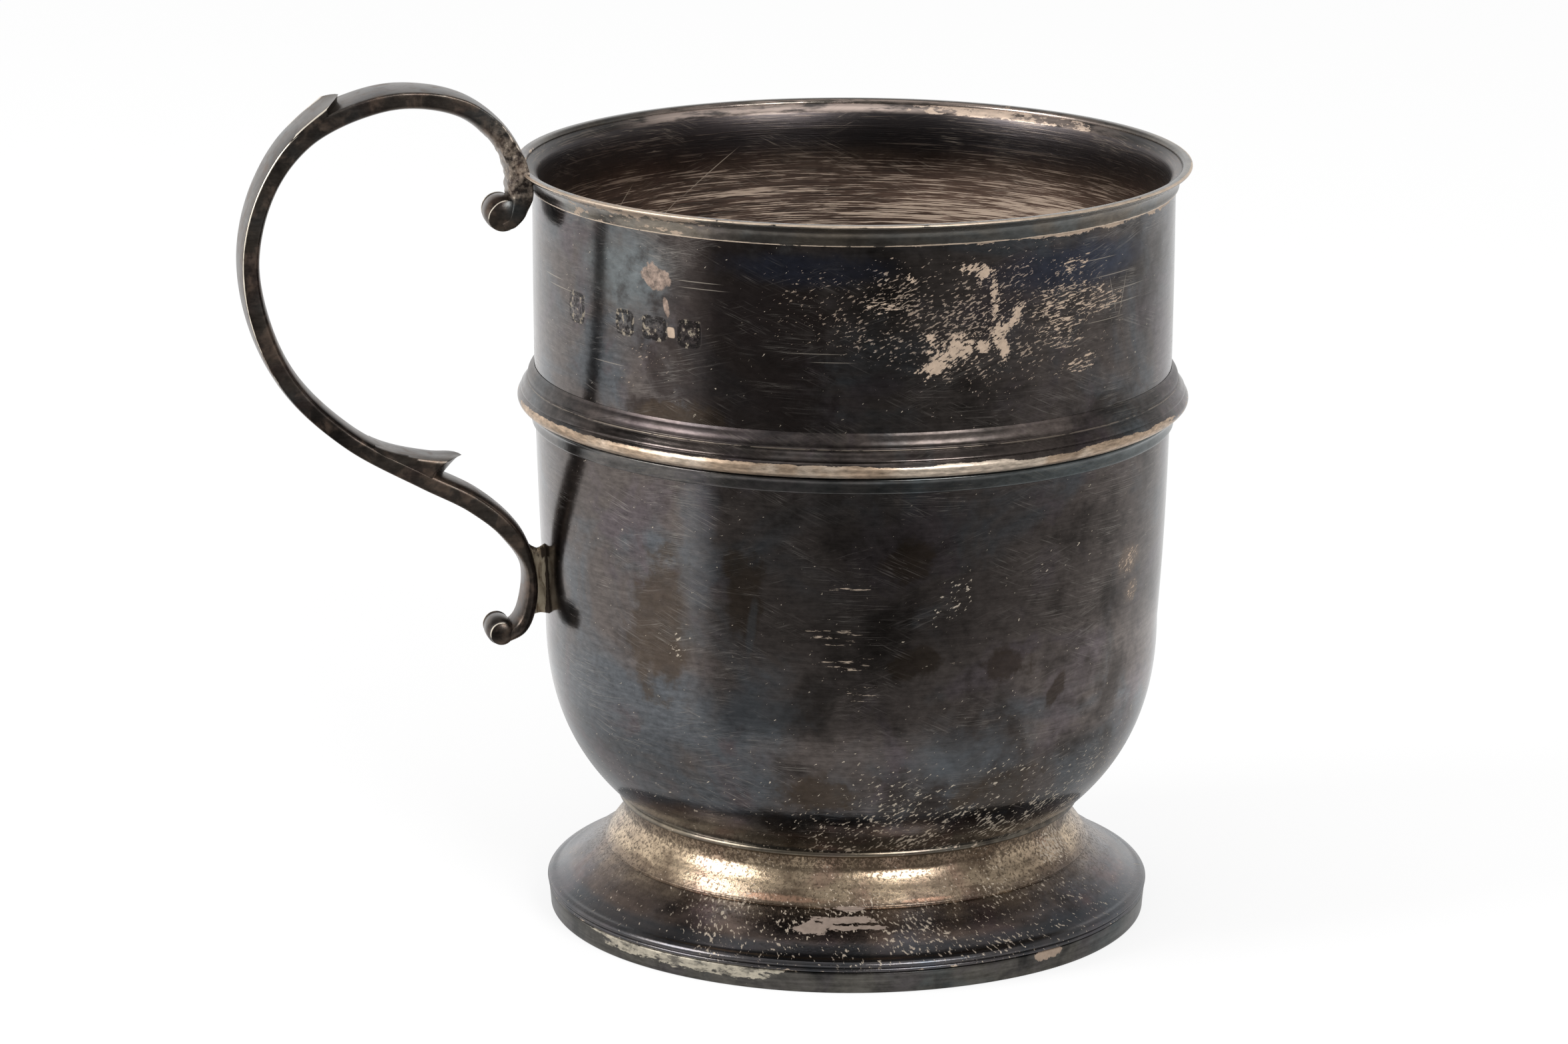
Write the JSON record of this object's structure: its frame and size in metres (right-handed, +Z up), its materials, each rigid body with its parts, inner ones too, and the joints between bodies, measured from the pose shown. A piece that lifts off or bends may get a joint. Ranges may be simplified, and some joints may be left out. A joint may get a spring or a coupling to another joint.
{
  "type": "christening mug",
  "caption": "Small footed silver drinking mug with a rounded cup, applied rim and girdle mouldings and a cast double-scroll handle.",
  "frame": {"origin": "on the table, under the middle of the box round mug and handle together; the cup's own axis stands 15.153 mm from it along +X", "axes": "+Z up along the cup's axis, -X from the cup's axis towards the handle, +Y completing the right-handed frame; the handle lies in the XZ plane, which is the mug's mirror plane"},
  "size_m": [0.1052, 0.0748, 0.0946],
  "materials": {
    "cup_silver": "heavily tarnished silver, dark brown with blue and purple bloom, rubbed pink-brown where it is worn, fine scratches",
    "rim_silver": "tarnished silver, grey-olive hollow with a bright rubbed lip",
    "girdle_silver": "tarnished silver, dark in the grooves, rubbed cream on the torus",
    "foot_silver": "tarnished silver, brassy olive in the hollow, dark purple-brown and speckled outside the crease",
    "collar_silver": "tarnished silver wire with a rubbed top",
    "strip_silver": "tarnished silver, grey-green and dark, with a rubbed upper edge",
    "handle_silver": "tarnished cast silver, grey back with bright arrises and dark mottled sides",
    "lug_silver": "tarnished silver with tan mottling round the solder"
  },
  "bodies": {
    "root": {"body_shell": "cup_silver", "rim_moulding": "rim_silver", "girdle_moulding": "girdle_silver", "foot_shell": "foot_silver", "foot_collar": "collar_silver", "foot_strip": "strip_silver", "handle": "handle_silver", "handle_lug": "lug_silver"}
  },
  "joints": []
}
